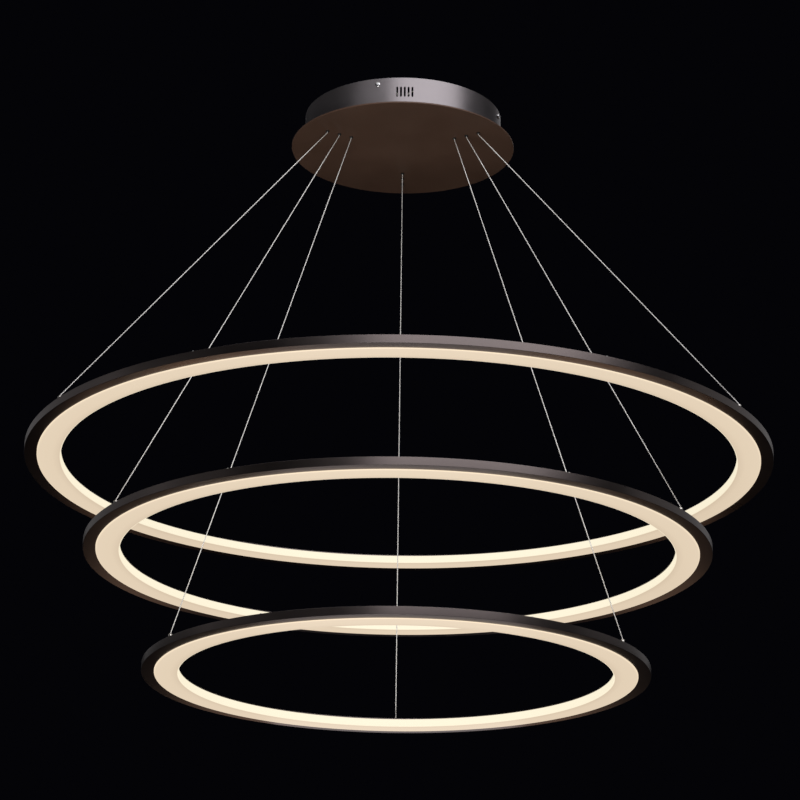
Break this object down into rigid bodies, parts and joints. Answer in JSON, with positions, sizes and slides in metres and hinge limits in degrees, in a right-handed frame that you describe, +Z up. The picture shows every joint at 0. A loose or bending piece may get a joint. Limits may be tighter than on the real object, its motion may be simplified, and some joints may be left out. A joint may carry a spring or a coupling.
{
  "type": "ring chandelier",
  "caption": "Tiered ring chandelier: flat lit rings hang level on slanting wires from a round ceiling canopy, and each ring's height adjusts.",
  "frame": {"origin": "centre of the face that lies against the ceiling, in the middle of the ceiling screws", "axes": "+Z up into the ceiling, the object hangs along -Z; -Y is the side with the canopy's vent slots; +X to the right seen from there"},
  "size_m": [1.1998, 1.2, 0.963],
  "materials": {
    "bronze_aluminium": "coffee-brown anodised aluminium, satin",
    "opal_acrylic": "opal acrylic, lit from inside, warm white",
    "board_white": "white solder mask on metal-cored board",
    "wire_steel": "bright stranded steel in a thin clear sleeve",
    "chrome_screw": "bright chrome",
    "zinc_steel": "zinc-plated pressed steel",
    "nickel_brass": "nickel-plated brass",
    "plate_paint": "dark coffee-brown satin lacquer",
    "drum_paint": "grey-brown satin lacquer with a soft sheen",
    "white_plastic": "white flame-resistant plastic",
    "black_plastic": "black nylon",
    "lead_sleeve": "pale silicone lead sleeve"
  },
  "bodies": {
    "canopy": {"ceiling_bracket": "zinc_steel", "canopy_drum": "drum_paint", "canopy_plate": "plate_paint", "drum_screws": "chrome_screw", "wire_grips": "nickel_brass", "terminal_block": "white_plastic", "mains_leads": "lead_sleeve", "large_wires": "wire_steel", "large_ring_driver": "white_plastic", "large_output_leads": "lead_sleeve", "middle_wires": "wire_steel", "middle_ring_driver": "white_plastic", "middle_output_leads": "lead_sleeve", "small_wires": "wire_steel", "small_ring_driver": "white_plastic", "small_output_leads": "lead_sleeve"},
    "large_ring": {"large_ring_frame": "bronze_aluminium", "large_light_guide": "opal_acrylic", "large_led_boards": "board_white", "large_wire_anchors": "chrome_screw", "large_anchor_nuts": "zinc_steel"},
    "middle_ring": {"middle_ring_frame": "bronze_aluminium", "middle_light_guide": "opal_acrylic", "middle_led_boards": "board_white", "middle_wire_anchors": "chrome_screw", "middle_anchor_nuts": "zinc_steel"},
    "small_ring": {"small_ring_frame": "bronze_aluminium", "small_light_guide": "opal_acrylic", "small_led_boards": "board_white", "small_wire_anchors": "chrome_screw", "small_anchor_nuts": "zinc_steel"},
    "large_release_1": {"large_release_tip_1": "black_plastic"},
    "large_release_2": {"large_release_tip_2": "black_plastic"},
    "large_release_3": {"large_release_tip_3": "black_plastic"},
    "middle_release_1": {"middle_release_tip_1": "black_plastic"},
    "middle_release_2": {"middle_release_tip_2": "black_plastic"},
    "middle_release_3": {"middle_release_tip_3": "black_plastic"},
    "small_release_1": {"small_release_tip_1": "black_plastic"},
    "small_release_2": {"small_release_tip_2": "black_plastic"},
    "small_release_3": {"small_release_tip_3": "black_plastic"}
  },
  "joints": [
    {"name": "large_ring_height", "type": "slide", "parent": "canopy", "child": "large_ring", "axis": [0, 0, 1], "range_m": [0, 0.3], "deforming": ["large_wires"]},
    {"name": "middle_ring_height", "type": "slide", "parent": "canopy", "child": "middle_ring", "axis": [0, 0, 1], "range_m": [0, 0.22], "deforming": ["middle_wires"]},
    {"name": "small_ring_height", "type": "slide", "parent": "canopy", "child": "small_ring", "axis": [0, 0, 1], "range_m": [0, 0.33], "deforming": ["small_wires"]},
    {"name": "large_release_1_press", "type": "slide", "parent": "canopy", "child": "large_release_1", "axis": [0, 0, 1], "range_m": [0, 0.0018], "stiffness_N_per_m": 200, "springref_m": -0.003},
    {"name": "large_release_2_press", "type": "slide", "parent": "canopy", "child": "large_release_2", "axis": [0, 0, 1], "range_m": [0, 0.0018], "stiffness_N_per_m": 200, "springref_m": -0.003},
    {"name": "large_release_3_press", "type": "slide", "parent": "canopy", "child": "large_release_3", "axis": [0, 0, 1], "range_m": [0, 0.0018], "stiffness_N_per_m": 200, "springref_m": -0.003},
    {"name": "middle_release_1_press", "type": "slide", "parent": "canopy", "child": "middle_release_1", "axis": [0, 0, 1], "range_m": [0, 0.0018], "stiffness_N_per_m": 200, "springref_m": -0.003},
    {"name": "middle_release_2_press", "type": "slide", "parent": "canopy", "child": "middle_release_2", "axis": [0, 0, 1], "range_m": [0, 0.0018], "stiffness_N_per_m": 200, "springref_m": -0.003},
    {"name": "middle_release_3_press", "type": "slide", "parent": "canopy", "child": "middle_release_3", "axis": [0, 0, 1], "range_m": [0, 0.0018], "stiffness_N_per_m": 200, "springref_m": -0.003},
    {"name": "small_release_1_press", "type": "slide", "parent": "canopy", "child": "small_release_1", "axis": [0, 0, 1], "range_m": [0, 0.0018], "stiffness_N_per_m": 200, "springref_m": -0.003},
    {"name": "small_release_2_press", "type": "slide", "parent": "canopy", "child": "small_release_2", "axis": [0, 0, 1], "range_m": [0, 0.0018], "stiffness_N_per_m": 200, "springref_m": -0.003},
    {"name": "small_release_3_press", "type": "slide", "parent": "canopy", "child": "small_release_3", "axis": [0, 0, 1], "range_m": [0, 0.0018], "stiffness_N_per_m": 200, "springref_m": -0.003}
  ]
}
